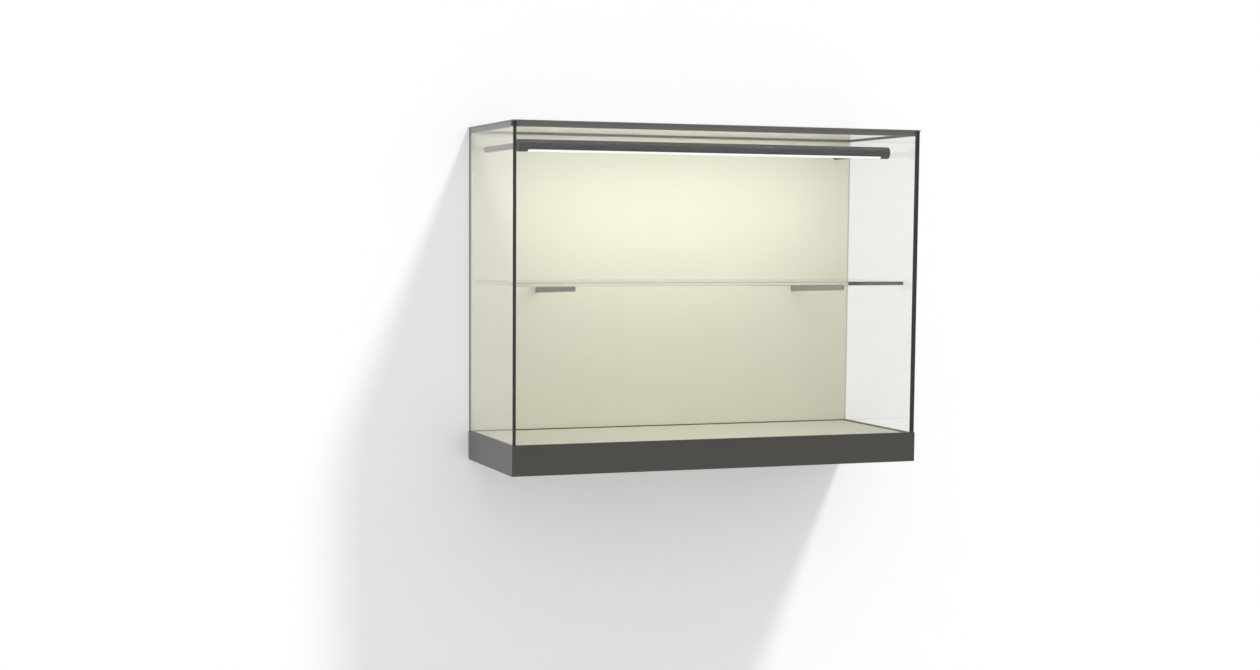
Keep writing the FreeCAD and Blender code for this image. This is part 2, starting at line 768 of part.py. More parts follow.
def shelf_brackets():
    """Tapered blade, with a root flange screwed to the back plate behind the board."""
    for side in SIDES:
        middle = inset_place(side, "bracket_inset")
        body = doc.addObject("PartDesign::Body", "bracket")
        root = "(%s - bracket_flange_thickness)" % PLATE_FACE
        tip = "%s - bracket_tip_height" % BRACKET_TOP
        plan = [("bracket_front_setback", BRACKET_TOP),
                ("bracket_front_setback", "%s + bracket_tip_radius" % tip),
                ("bracket_front_setback + bracket_tip_radius", tip),
                (BOARD_FACE, "%s - bracket_root_height" % BRACKET_TOP),
                (root, "%s - bracket_root_height" % BRACKET_TOP),
                (root, BRACKET_TOP)]
        sketch = outline(body, "YZ_Plane", "%s - bracket_blade / 2" % middle, plan)
        pad(body, sketch, "bracket_blade")
        flange = box(("%s - bracket_flange_width / 2" % middle, root,
                      "%s - bracket_flange_height / 2" % BRACKET_MIDDLE),
                     ("bracket_flange_width", "bracket_flange_thickness",
                      "bracket_flange_height"))
        finish(cut(fuse([body, flange]), bracket_bolts()), "shelf_bracket_" + side)
    finish(group(bracket_bolts()), "bracket_screws")
    pads = []
    for side in SIDES:
        start = "%s - bracket_blade / 2" % inset_place(side, "bracket_inset")
        for front in ("bracket_front_setback", "%s - pad_length" % BOARD_FACE):
            pads.append(box((start, front, BRACKET_TOP),
                            ("bracket_blade", "pad_length", "pad_thickness")))
    finish(group(pads), "shelf_pads")


# ---------------------------------------------------------------- light tube
BODY_START = "(light_end_inset + socket_length + light_joint_gap)"
BODY_LENGTH = "(case_width - 2 * %s)" % BODY_START
CAVITY = "(light_diameter - 2 * light_wall)"


def light_arms():
    length = "%s - light_setback - arm_seat" % PLATE_FACE
    for side in SIDES:
        place = inset_place(side, "arm_inset")
        start = (place, "light_setback + arm_seat", LIGHT_LEVEL)
        tube = cut(rod(start, "arm_diameter", length, ALONG_V),
                   [rod(start, "arm_bore", length, ALONG_V)])
        finish(tube, "light_arm_" + side)
        outer = side_start(side, "light_end_inset", "socket_length")
        socket = rod((outer, "light_setback", LIGHT_LEVEL), "light_diameter",
                     "socket_length", ALONG_U)
        seat = rod(start, "arm_diameter", "light_diameter", ALONG_V)
        bore = "(trunnion_diameter + 2 * trunnion_clearance)"
        depth = "(trunnion_length + light_joint_gap)"
        mouth = side_start(side, "light_end_inset + socket_length - %s" % depth, depth)
        pivot = rod((mouth, "light_setback", LIGHT_LEVEL), bore, depth, ALONG_U)
        finish(cut(socket, [seat, pivot]), "light_socket_" + side)


def below_chord():
    """The space under the flat that parts the housing from the lens."""
    return box((BODY_START, "light_setback - light_diameter / 2",
                "%s - light_diameter / 2" % LIGHT_LEVEL),
               (BODY_LENGTH, "light_diameter", "light_lens_depth"))


def light_tube():
    axis = (BODY_START, "light_setback", LIGHT_LEVEL)
    shell = cut(rod(axis, "light_diameter", BODY_LENGTH, ALONG_U),
                [rod(axis, CAVITY, BODY_LENGTH, ALONG_U), below_chord()])
    web = box((BODY_START, "light_setback - %s / 2 - light_wall / 2" % CAVITY, LIGHT_LEVEL),
              (BODY_LENGTH, "%s + light_wall" % CAVITY, "light_web"))
    finish(fuse([shell, web]), "light_housing")
    lens = common(rod(axis, "light_diameter", BODY_LENGTH, ALONG_U), below_chord())
    finish(lens, "light_lens")
    strip = box(("%s + end_plate" % BODY_START, "light_setback - led_board_width / 2",
                 "%s - led_board_thickness" % LIGHT_LEVEL),
                ("%s - 2 * end_plate" % BODY_LENGTH, "led_board_width", "led_board_thickness"))
    finish(strip, "led_board")


def light_ends():
    """Plug in each end of the housing, with the trunnion that turns in the socket."""
    for side in SIDES:
        start = BODY_START if side == "left" else from_right(BODY_START + " + end_plate")
        disc = rod((start, "light_setback", LIGHT_LEVEL), CAVITY, "end_plate", ALONG_U)
        tool = [below_chord(), end_web()]
        pin_start = "%s - trunnion_length" % BODY_START
        if side == "right":
            pin_start = from_right(BODY_START)
        pin = rod((pin_start, "light_setback", LIGHT_LEVEL), "trunnion_diameter",
                  "trunnion_length", ALONG_U)
        finish(fuse([cut(disc, tool), pin]), "light_end_" + side)


def end_web():
    return box((BODY_START, "light_setback - light_diameter / 2", LIGHT_LEVEL),
               (BODY_LENGTH, "light_diameter", "light_web"))


# ---------------------------------------------------------------- light supply
def light_supply():
    """Driver in the tray, flat ribbon up the back of the board, and the inlet from the wall."""
    middle = inset_place("right", "arm_inset")
    rear_wall = "(%s - tray_wall)" % PLATE_FACE
    floor = "(tray_clearance + tray_wall)"
    top = "%s - arm_diameter / 2 - ribbon_clearance" % LIGHT_LEVEL
    ribbon = box(("%s - ribbon_width / 2" % middle, "%s - ribbon_thickness" % PLATE_FACE,
                  RIBBON_FOOT),
                 ("ribbon_width", "ribbon_thickness", "%s - %s" % (top, RIBBON_FOOT)))
    tail = box(("%s - ribbon_width / 2" % middle, rear_wall, RIBBON_FOOT),
               ("ribbon_width", "tray_wall", "ribbon_width"))
    finish(fuse([ribbon, tail]), "supply_ribbon")
    driver = box(("%s + ribbon_width - driver_length" % middle,
                  "%s - driver_width" % rear_wall, floor),
                 ("driver_length", "driver_width", "driver_height"))
    finish(driver, "led_driver")
    flange_start = "%s - grommet_flange_thickness" % rear_wall
    body = rod((GROMMET_PLACE[0], rear_wall, GROMMET_PLACE[1]), "grommet_body",
               "tray_wall + back_plate_thickness", ALONG_V)
    flange = rod((GROMMET_PLACE[0], flange_start, GROMMET_PLACE[1]), "grommet_flange",
                 "grommet_flange_thickness", ALONG_V)
    bore = rod((GROMMET_PLACE[0], flange_start, GROMMET_PLACE[1]), "grommet_bore",
               "grommet_flange_thickness + tray_wall + back_plate_thickness", ALONG_V)
    finish(cut(fuse([body, flange]), [bore]), "supply_grommet")


# ---------------------------------------------------------------- cam locks
def lock_brackets():
    """Plates on the front rail's bottom flange that carry the lock barrels."""
    plates = []
    for side in SIDES:
        middle = inset_place(side, "lock_inset")
        plate = box(("%s - lock_bracket_width / 2" % middle, "skirt_thickness",
                     "skirt_flange_thickness"),
                    ("lock_bracket_width", "lock_bracket_length", "lock_bracket_thickness"))
        hole = rod((middle, "lock_setback", "skirt_flange_thickness"), "lock_barrel",
                   "lock_bracket_thickness", ALONG_W)
        plates.append(cut(plate, [hole]))
    finish(group(plates), "lock_brackets")


def locks():
    for side in SIDES:
        middle = inset_place(side, "lock_inset")
        foot = (middle, "lock_setback", "0")
        above_bezel = (middle, "lock_setback", "lock_bezel_thickness")
        bezel = rod(foot, "lock_bezel", "lock_bezel_thickness", ALONG_W)
        barrel = rod(above_bezel, "lock_barrel", "lock_barrel_length - lock_bezel_thickness",
                     ALONG_W)
        bore = rod(foot, "lock_plug + 2 * lock_plug_clearance", "lock_barrel_length", ALONG_W)
        finish(cut(fuse([bezel, barrel]), [bore]), "lock_barrel_" + side)
        plug = rod(foot, "lock_plug", CAM_FOOT, ALONG_W)
        keyway = box(("%s - key_slot_width / 2" % middle,
                      "lock_setback - key_slot_length / 2", "0"),
                     ("key_slot_width", "key_slot_length", "key_slot_depth"))
        finish(cut(plug, [keyway]), "lock_plug_" + side)
        cam = box(("%s - cam_width / 2" % middle, "lock_setback - cam_tail", CAM_FOOT),
                  ("cam_width", "cam_tail + cam_reach", "cam_thickness"))
        finish(cam, "lock_cam_" + side)


def lock_keepers():
    """Hooks on the front of the tray that the turned cams catch behind."""
    keepers = []
    lip_rear = "(lock_setback - cam_width / 2 - keeper_clearance)"
    plate_foot = "(%s - cam_lift - keeper_thickness)" % CAM_FOOT
    for side in SIDES:
        middle = inset_place(side, "lock_inset")
        start = "%s + keeper_offset" % middle
        if side == "right":
            start = "%s - keeper_offset - keeper_width" % middle
        front = "%s - keeper_thickness" % lip_rear
        plate = box((start, front, plate_foot),
                    ("keeper_width", "tray_front_setback - (%s)" % front, "keeper_thickness"))
        lip = box((start, front, plate_foot),
                  ("keeper_width", "keeper_thickness",
                   "2 * keeper_thickness + cam_lift + cam_thickness"))
        flange = box((start, "tray_front_setback - keeper_thickness", plate_foot),
                     ("keeper_width", "keeper_thickness", "keeper_flange_height"))
        keepers.append(fuse([plate, lip, flange]))
    finish(group(keepers), "lock_keepers")


# ---------------------------------------------------------------- build, check and write
panes()
corner_seals()
rear_seals()
top_frame()
top_glass()
top_glazing_seal()
plinth_rails()
setting_blocks()
runners()
back_plate()
back_board()
base_tray()
deck()
deck_bearers()
glass_shelf()
shelf_brackets()
light_arms()
light_tube()
light_ends()
light_supply()
lock_brackets()
locks()
lock_keepers()
doc.recompute()

for thing in doc.Objects:
    if "Invalid" in thing.State or "Error" in thing.State:
        raise RuntimeError("%s did not build: %s" % (thing.Label, thing.State))
for node in NODES:
    if node.Shape.isNull() or not node.Shape.isValid():
        raise RuntimeError("%s has no valid shape" % node.Label)

os.makedirs("parts", exist_ok=True)
for node in NODES:
    node.Shape.exportStep(os.path.join("parts", node.Label + ".step"))
    bounds = node.Shape.BoundBox
    print("%-22s %2d solid(s)  x %8.2f %8.2f  y %8.2f %8.2f  z %8.2f %8.2f" % (
        node.Label, len(node.Shape.Solids), bounds.XMin, bounds.XMax,
        bounds.YMin, bounds.YMax, bounds.ZMin, bounds.ZMax))
print(len(NODES), "nodes")
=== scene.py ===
# %% [markdown]
# # Wall mounted showcase, dressed
#
# This lesson dresses a museum showcase that hangs on a wall. Its metal parts, shelf and runners are
# already solid models at their real size, so the work here is mostly finishes and light: clear glass
# that bends what is behind it, a fine powder coat on the metal, a warm light tube under the top, and a
# white wall that takes the shadow.
#
# We load the solid model first. Every length is in metres, +Y goes into the wall and +Z is up.

# %% Load the solid model
import math

import bpy
from mathutils import Matrix, Vector


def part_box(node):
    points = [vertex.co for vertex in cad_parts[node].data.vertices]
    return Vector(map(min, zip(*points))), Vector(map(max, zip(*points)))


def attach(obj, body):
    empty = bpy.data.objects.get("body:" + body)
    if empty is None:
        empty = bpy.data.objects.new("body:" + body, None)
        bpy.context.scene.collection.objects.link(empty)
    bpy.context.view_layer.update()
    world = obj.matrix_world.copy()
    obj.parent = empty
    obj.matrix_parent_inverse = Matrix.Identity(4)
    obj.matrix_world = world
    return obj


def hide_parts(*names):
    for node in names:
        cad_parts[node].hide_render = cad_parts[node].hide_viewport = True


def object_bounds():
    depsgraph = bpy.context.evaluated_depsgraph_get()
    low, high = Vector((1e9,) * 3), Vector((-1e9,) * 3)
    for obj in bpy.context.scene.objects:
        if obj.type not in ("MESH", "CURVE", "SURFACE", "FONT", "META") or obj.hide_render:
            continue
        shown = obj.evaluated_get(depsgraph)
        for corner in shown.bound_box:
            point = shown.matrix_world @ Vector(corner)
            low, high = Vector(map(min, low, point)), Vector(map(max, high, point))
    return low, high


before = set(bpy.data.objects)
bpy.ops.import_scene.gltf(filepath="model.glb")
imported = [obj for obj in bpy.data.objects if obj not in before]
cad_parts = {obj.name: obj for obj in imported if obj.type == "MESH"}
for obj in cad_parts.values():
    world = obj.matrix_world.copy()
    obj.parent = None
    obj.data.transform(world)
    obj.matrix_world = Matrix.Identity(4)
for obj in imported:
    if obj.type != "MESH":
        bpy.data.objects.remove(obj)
solid_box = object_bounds()
MM = 0.001
print("solid model, corners in metres:", [tuple(round(c, 4) for c in corner) for corner in solid_box])

# %% [markdown]
# ## The camera
#
# The case is seen from its left and from a little above the middle, with a normal lens. Turning a camera
# by hand to the exact angle is slow, so we state the three angles and build the rotation from them: first
# the turn about the vertical, then the tilt down, then the small roll. A lens shift keeps the horizon of
# the picture where it is without tilting the camera, as an architect's lens does.

# %% Camera
CAMERA_PLACE = Vector((-1.998, -4.935, 0.1502))
TURN_RIGHT, TILT_DOWN, ROLL = 19.661, 4.988, 0.316
SENSOR_WIDTH = 36.0
LENS = 53.85
SHIFT_RIGHT, SHIFT_UP = 0.03448, 0.05033

camera_data = bpy.data.cameras.new("camera")
camera_data.sensor_width = SENSOR_WIDTH
camera_data.lens = LENS
camera_data.shift_x = SHIFT_RIGHT
camera_data.shift_y = SHIFT_UP
camera = bpy.data.objects.new("camera", camera_data)
turn = Matrix.Rotation(math.radians(-TURN_RIGHT), 4, "Z")
tilt = Matrix.Rotation(math.radians(90 - TILT_DOWN), 4, "X")
roll = Matrix.Rotation(math.radians(ROLL), 4, "Z")
camera.matrix_world = Matrix.Translation(CAMERA_PLACE) @ turn @ tilt @ roll
bpy.context.scene.collection.objects.link(camera)
bpy.context.scene.camera = camera
bpy.context.scene.view_settings.view_transform = "Standard"
print("camera looks along", tuple(round(c, 3) for c in -camera.matrix_world.col[2].xyz))

# %% [markdown]
# ## Writing materials as sums
#
# A shader's numbers could be wired by hand, one Math node after the other, but a node graph is easier
# to read as a line of Python. `Value` wraps one socket and lets us write `1 - mask` or
# `noise * 0.2 + 0.4`, adding a Math node for each step.

# %% Value
class Value:
    """A socket in a material, usable in a sum."""

    def __init__(self, recipe, socket):
        self.recipe = recipe
        self.socket = socket

    def math(self, operation, first, second):
        return self.recipe.node("Math", {"operation": operation}, {0: first, 1: second})

    def __add__(self, other):
        return self.math("ADD", self, other)

    def __radd__(self, other):
        return self.math("ADD", other, self)

    def __sub__(self, other):
        return self.math("SUBTRACT", self, other)

    def __rsub__(self, other):
        return self.math("SUBTRACT", other, self)

    def __mul__(self, other):
        return self.math("MULTIPLY", self, other)

    def __rmul__(self, other):
        return self.math("MULTIPLY", other, self)


print("Value writes sums with +, - and *")

# %% [markdown]
# ## A recipe for each material
#
# `Recipe` holds one material, and its `node` method makes any node that is not a sum. Its settings go
# in first, because some of them change which sockets the node has, and then the values or links of its
# sockets. `finish` joins the last shader to the output and gives the material back.

# %% Recipe
class Recipe:
    """One material, or the world, and the nodes in it."""

    def __init__(self, owner):
        owner.use_nodes = True
        self.owner = owner
        self.tree = owner.node_tree
        self.tree.nodes.clear()

    def node(self, kind, settings=(), sockets=(), output=0):
        return Value(self, self.make(kind, settings, sockets).outputs[output])

    def make(self, kind, settings, sockets):
        made = self.tree.nodes.new("ShaderNode" + kind)
        for name, setting in dict(settings).items():
            if name == "stops":
                self.set_stops(made.color_ramp.elements, setting)
            else:
                setattr(made, name, setting)
        for name, given in dict(sockets).items():
            if isinstance(given, Value):
                self.tree.links.new(given.socket, made.inputs[name])
            else:
                made.inputs[name].default_value = given
        return made

    def set_stops(self, elements, stops):
        while len(elements) < len(stops):
            elements.new(1.0)
        for element, (place, colour) in zip(elements, stops):
            element.position = place
            element.color = (*colour, 1.0)

    def finish(self, shader, output="OutputMaterial"):
        self.make(output, (), {"Surface": shader})
        return self.owner


def new_recipe(name):
    return Recipe(bpy.data.materials.new(name))


def rgba(colour):
    return (*colour, 1.0)


print("each recipe starts a new material, of which there are", len(bpy.data.materials), "so far")

# %% [markdown]
# ## Which ray is asking
#
# The ray tracer tells a shader what kind of ray has reached it, and four of our materials answer by
# that: the wall and the floor look a little lighter than they shine, the room looks white, glass lets
# bounced light through, and the lamp's lens lights more than it shows. This helper gives one where the
# ray is any of the kinds named, and zero elsewhere.

# %% Kinds of ray
LOOKING = ("Camera", "Glossy", "Transmission")


def any_ray(recipe, *kinds):
    found = recipe.node("LightPath", (), (), "Is %s Ray" % kinds[0])
    for kind in kinds[1:]:
        other = recipe.node("LightPath", (), (), "Is %s Ray" % kind)
        found = recipe.node("Math", {"operation": "MAXIMUM"}, {0: found, 1: other})
    return found


print("kinds of ray that look at a thing:", ", ".join(LOOKING))

# %% [markdown]
# ## Paint for the wall and the floor
#
# The case hangs on a white wall, and the soft darkening around it tells how far it stands out. A wall
# that gives back nearly all its light shows that best. It still comes out light grey, so we add a
# small lift for what the camera sees, directly, mirrored or through glass. The shadow stays. The floor
# is painted darker and lifted more, so that less light comes up from below. From behind, the paint is
# swapped for nothing, so that the back of the case can be looked at.

# %% Studio paint
WALL_WHITE, WALL_LIFT = 0.96, 0.18
FLOOR_WHITE, FLOOR_LIFT = 0.50, 0.50


def studio_paint(name, level, lift_level):
    recipe = new_recipe(name)
    paint = recipe.node("BsdfDiffuse", (), {"Color": rgba([level] * 3)})
    lift = recipe.node("Emission", (), {"Color": rgba([1.0] * 3), "Strength": lift_level})
    dark = recipe.node("Emission", (), {"Strength": 0.0})
    added = recipe.node("MixShader", (), {0: any_ray(recipe, *LOOKING), 1: dark, 2: lift})
    front = recipe.node("AddShader", (), {0: paint, 1: added})
    nothing = recipe.node("BsdfTransparent")
    behind = recipe.node("NewGeometry", (), (), "Backfacing")
    return recipe.finish(recipe.node("MixShader", (), {0: behind, 1: front, 2: nothing}))


wall_paint = studio_paint("wall_paint", WALL_WHITE, WALL_LIFT)
floor_paint = studio_paint("floor_paint", FLOOR_WHITE, FLOOR_LIFT)
print("studio paints:", wall_paint.name, "and", floor_paint.name)

# %% [markdown]
# ## The wall and the floor
#
# A single quad would do for each, but the wall would then cover the back of the case. So the wall is a
# flat frame of four quads, with an opening just inside the outline of the case. The case covers the
# opening from the front, and from behind light reaches the back plate through it.

# %% Wall and floor
HANGING_HEIGHT = 0.95
WALL_HALF_WIDTH = 7.0
WALL_TOP = 5.0
FLOOR_DEPTH = 9.0
WALL_GAP = 0.5 * MM
COVERED_MARGIN = 1.0 * MM
floor_level = solid_box[0].z - HANGING_HEIGHT


def mesh_object(name, points, faces, material):
    mesh = bpy.data.meshes.new(name)
    mesh.from_pydata(points, [], faces)
    mesh.validate()
    mesh.materials.append(material)
    made = bpy.data.objects.new(name, mesh)
    bpy.context.scene.collection.objects.link(made)
    return made


def wall(material):
    low, high = solid_box
    outer = [(-WALL_HALF_WIDTH, floor_level), (WALL_HALF_WIDTH, floor_level),
             (WALL_HALF_WIDTH, WALL_TOP), (-WALL_HALF_WIDTH, WALL_TOP)]
    inner = [(low.x + COVERED_MARGIN, low.z + COVERED_MARGIN),
             (high.x - COVERED_MARGIN, low.z + COVERED_MARGIN),
             (high.x - COVERED_MARGIN, high.z - COVERED_MARGIN),
             (low.x + COVERED_MARGIN, high.z - COVERED_MARGIN)]
    points = [(x, WALL_GAP, z) for x, z in outer + inner]
    faces = [(i, (i + 1) % 4, 4 + (i + 1) % 4, 4 + i) for i in range(4)]
    return mesh_object("wall", points, faces, material)


def floor(material):
    corners = [(-WALL_HALF_WIDTH, -FLOOR_DEPTH), (WALL_HALF_WIDTH, -FLOOR_DEPTH),
               (WALL_HALF_WIDTH, WALL_GAP), (-WALL_HALF_WIDTH, WALL_GAP)]
    points = [(x, y, floor_level) for x, y in corners]
    return mesh_object("floor", points, [(0, 1, 2, 3)], material)


wall(wall_paint)
floor(floor_paint)
print("floor level", round(floor_level, 3), "m")

# %% [markdown]
# ## Room light and key light
#
# The room is one even, soft light from all round, which a world background gives at no cost. The shape
# comes from a single key light high on the right and close to the wall, so that the case throws a long
# shadow down and to the left. A sun lamp keeps that shadow's direction the same everywhere, and its
# angle sets how soft the edge gets. We sample the room by the surfaces' own rays, so that its light
# passes the panes freely.

# %% Lights
ROOM_LEVEL = 0.66
KEY_LEVEL = 0.61
KEY_SOFTNESS = math.radians(8.0)
KEY_FROM = Vector((0.359, -0.378, 0.854))
KEY_DISTANCE = 3.0


def room_light():
    world = bpy.data.worlds.new("room")
    bpy.context.scene.world = world
    recipe = Recipe(world)
    room = recipe.node("Background", (), {"Color": rgba([1.0] * 3), "Strength": ROOM_LEVEL})
    backdrop = recipe.node("Background", (), {"Color": rgba([1.0] * 3), "Strength": 1.0})
    seen = any_ray(recipe, "Camera", "Transmission")
    recipe.finish(recipe.node("MixShader", (), {0: seen, 1: room, 2: backdrop}), "OutputWorld")
    world.cycles.sampling_method = "NONE"


def key_light():
    lamp = bpy.data.lights.new("key", "SUN")
    lamp.energy = KEY_LEVEL * math.pi
    lamp.angle = KEY_SOFTNESS
    placed = bpy.data.objects.new("key", lamp)
    placed.rotation_mode = "QUATERNION"
    placed.rotation_quaternion = KEY_FROM.to_track_quat("Z", "Y")
    placed.location = KEY_FROM * KEY_DISTANCE
    bpy.context.scene.collection.objects.link(placed)


room_light()
key_light()
print("key light elevation", round(math.degrees(math.asin(KEY_FROM.normalized().z)), 1), "degrees")

# %% [markdown]
# ## Grain in metres
#
# No finish on this case is one flat colour: paint has peel, zinc clouds, glass gathers dust. An image
# would have to be unwrapped onto sixty parts, so we use noise instead. All of it takes object
# coordinates, which here are plain metres, so the grain has one size on every part.

# %% Textures
STOPS = (0.3, 0.7)


def object_metres(recipe):
    return recipe.node("TexCoord", (), (), "Object")


def noise(recipe, scale, detail=2.0, stretch=(1.0, 1.0, 1.0)):
    place = recipe.node("Mapping", (), {"Vector": object_metres(recipe), "Scale": stretch})
    return recipe.node("TexNoise", (), {"Vector": place, "Scale": scale, "Detail": detail}, "Fac")


def two_tone(recipe, mask, low, high):
    return recipe.node("ValToRGB", {"stops": list(zip(STOPS, (low, high)))}, {"Fac": mask}, "Color")


def bumped(recipe, height, strength, distance):
    return recipe.node("Bump", (), {"Height": height, "Strength": strength, "Distance": distance})


def shade_of(colour, factor):
    return [channel * factor for channel in colour]


print("two tones meet between noise values", STOPS[0], "and", STOPS[1])

# %% [markdown]
# ## Powder coat
#
# The rails, the top frame and the light tube have a fine-texture powder coat: a matt film with a tiny
# orange peel and slight differences in shade where the film is thicker. Modelling the peel would take
# millions of faces, so a noise at about a millimetre drives a weak bump, and a broad noise moves the
# colour and the roughness a few percent.

# %% Powder coat
PEEL_PER_METRE = 900.0
FILM_PER_METRE = 9.0
FILM_POLISH = 0.08
PEEL_DEPTH = 0.1 * MM


def powder_coat(name, colour, roughness, peel=0.05, spread=0.02):
    recipe = new_recipe(name)
    film = noise(recipe, FILM_PER_METRE)
    peel_height = noise(recipe, PEEL_PER_METRE, 3.0)
    tone = two_tone(recipe, film, shade_of(colour, 1 - spread), shade_of(colour, 1 + spread))
    coat = recipe.node("BsdfPrincipled", (), {
        "Base Color": tone,
        "Roughness": film * FILM_POLISH + (roughness - FILM_POLISH / 2),
        "Normal": bumped(recipe, peel_height, peel, PEEL_DEPTH),
    })
    return recipe.finish(coat)


def dress(material, *names):
    """Give solid parts a finish in place of the one they came with."""
    for name in names:
        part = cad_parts[name]
        part.data.materials.clear()
        part.data.materials.append(material)


print("peel repeats about every", round(1 / PEEL_PER_METRE / MM, 1), "mm")

# %% [markdown]
# ## Paints for the parts
#
# The outside metal is a dark, slightly olive grey. The board is a warm ivory with a softer film, and the
# deck has the same film in that ivory darkened by about a quarter, which is painted shade. The shelf
# brackets are a light grey. The top bars are seen through glass, which takes some of their light away, so
# their grey is painted lighter than the rails' grey, which is painted light. One function makes them all,
# and `dress` puts each on its parts.

# %% Paints
DARK_GREY = (0.050, 0.048, 0.039)
TUBE_GREY = (0.014, 0.014, 0.014)
# painted light: the top bars' grey is painted lighter than the rails' grey, to make up for the glass in
# front
LIGHTENED_BAND_GREY = (0.175, 0.172, 0.159)
IVORY = (0.83, 0.814, 0.66)
# painted shade: the deck's ivory is the board's ivory darkened by about a quarter
SHADED_DECK_IVORY = (0.62, 0.605, 0.49)
BRACKET_GREY = (0.235, 0.233, 0.224)

frame_coat = powder_coat("frame_coat", DARK_GREY, 0.20)
lightened_band_coat = powder_coat("lightened_band_coat", LIGHTENED_BAND_GREY, 0.30)
tube_coat = powder_coat("tube_coat", TUBE_GREY, 0.55)
ivory_coat = powder_coat("ivory_coat", IVORY, 0.62, peel=0.08, spread=0.008)
shaded_deck_coat = powder_coat("shaded_deck_coat", SHADED_DECK_IVORY, 0.62, peel=0.08, spread=0.008)
bracket_coat = powder_coat("bracket_coat", BRACKET_GREY, 0.45)

SIDES = ("left", "right")
dress(frame_coat, "base_tray", "lock_brackets", "lock_keepers", "rail_front", "rail_left",
      "rail_right", "deck_rear_trim")
dress(lightened_band_coat, "top_bar_front", "top_bar_left", "top_bar_right", "top_bar_back")
dress(ivory_coat, "back_board")
dress(shaded_deck_coat, "deck_board")
dress(bracket_coat, "shelf_bracket_left", "shelf_bracket_right")
dress(tube_coat, "light_housing", *["light_%s_%s" % (part, side)
                                    for part in ("arm", "socket", "end") for side in SIDES])
print("coats:", [made.name for made in bpy.data.materials if made.name.endswith("_coat")])

# %% [markdown]
# ## Clear glass
#
# The panes are clear glass with its real index of refraction, so they bend what lies behind them,
# mirror the room at a glancing angle and show the dark seam in the mitred corners. Light that has
# already bounced off a matt surface passes straight through, which spares the picture the bright
# specks of caustics. The panes still stop the key light, so the case throws one whole shadow.
#
# The shelf is looked at edge on, through a third of a metre of glass, where the full index gives a
# jumble of bright lines. A lower index bends less, so the front edge stays one calm grey band that
# hides the brackets behind it. The lamp's light passes the shelf, or the space below would go dark.

# %% Glass
DUST_PER_METRE = 35.0
DUST_SHADE = 0.995
PANE_TINT = (0.955, 0.957, 0.945)
SHELF_TINT = (0.85, 0.86, 0.85)
PANE_INDEX, SHELF_INDEX = 1.5, 1.18


def clear_glass(name, tint, index, *rays_passed):
    recipe = new_recipe(name)
    dust = noise(recipe, DUST_PER_METRE)
    glass = recipe.node("BsdfPrincipled", (), {
        "Base Color": two_tone(recipe, dust, shade_of(tint, DUST_SHADE), tint),
        "Roughness": 0.0,
        "IOR": index,
        "Transmission Weight": 1.0,
    })
    nothing = recipe.node("BsdfTransparent")
    passed = any_ray(recipe, *rays_passed)
    return recipe.finish(recipe.node("MixShader", (), {0: passed, 1: glass, 2: nothing}))


pane_glass = clear_glass("pane_glass", PANE_TINT, PANE_INDEX, "Diffuse")
dress(clear_glass("shelf_glass", SHELF_TINT, SHELF_INDEX, "Diffuse", "Shadow"), "glass_shelf")

# %% [markdown]
# ## Upright pieces
#
# Panes, beads and strips all have one plan from foot to top, so one function can build them: it lifts
# a closed outline. The case is the same on both sides, so a plan is drawn for the left and turned over
# for the right. Each piece of the hood then says which body it moves with, which solid part it stands
# in for and what it is made of.

# %% Prisms
def prism(name, plan, foot, top, material):
    """An upright solid on a closed plan, given anticlockwise from above."""
    count = len(plan)
    points = [(x, y, foot) for x, y in plan] + [(x, y, top) for x, y in plan]
    faces = [tuple(range(count - 1, -1, -1)), tuple(range(count, 2 * count))]
    faces += [(i, (i + 1) % count, count + (i + 1) % count, count + i) for i in range(count)]
    return mesh_object(name, points, faces, material)


def rectangle(x_range, y_range):
    (left, right), (front, back) = x_range, y_range
    return [(left, front), (right, front), (right, back), (left, back)]


def hood_piece(piece, node):
    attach(piece, "hood")
    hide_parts(node)


def mirrored(plan, side):
    """The same plan on the left, or turned over for the right, still anticlockwise."""
    if side == "left":
        return plan
    return [(-x, y) for x, y in reversed(plan)]


print("a plan goes right to left on the mirrored side:", mirrored([(1, 0), (2, 0), (2, 1)], "right"))

# %% [markdown]
# ## Panes and seams
#
# Where a pane touches metal, two faces would lie on one plane and the ray tracer could not tell which
# comes first. So we lay new panes over the solid ones, a tenth of a millimetre slimmer. Their mitred
# ends keep their place, and the black bead between them bites a little into both, because silicone
# wets the glass: seen through the pane, the joint is then black and not a mirror.

# %% Panes
AIR = 0.1 * MM
BITE = 0.05 * MM
front_low, front_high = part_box("front_pane")
thickness = front_high.y - front_low.y
foot, top = front_low.z + AIR, front_high.z - AIR
outer_y, inner_y = front_low.y + AIR, front_high.y - AIR


def front_pane():
    outer_x, inner_x = front_high.x - AIR, front_high.x - thickness + AIR
    plan = [(-outer_x, outer_y), (outer_x, outer_y), (inner_x, inner_y), (-inner_x, inner_y)]
    return prism("pane_front", plan, foot, top, pane_glass)


def side_pane(side):
    low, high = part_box("left_pane")
    outer_x, inner_x = low.x + AIR, high.x - AIR
    plan = [(outer_x, low.y + AIR), (inner_x, low.y + thickness - AIR),
            (inner_x, high.y - AIR), (outer_x, high.y - AIR)]
    return prism("pane_" + side, mirrored(plan, side), foot, top, pane_glass)


def top_pane():
    low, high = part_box("top_glass")
    plan = rectangle((low.x + AIR, high.x - AIR), (low.y + AIR, high.y - AIR))
    return prism("pane_top", plan, low.z + AIR, high.z - AIR, pane_glass)


hood_piece(front_pane(), "front_pane")
hood_piece(top_pane(), "top_glass")
for side in SIDES:
    hood_piece(side_pane(side), side + "_pane")
print("pane thickness", round(thickness / MM, 2), "mm")

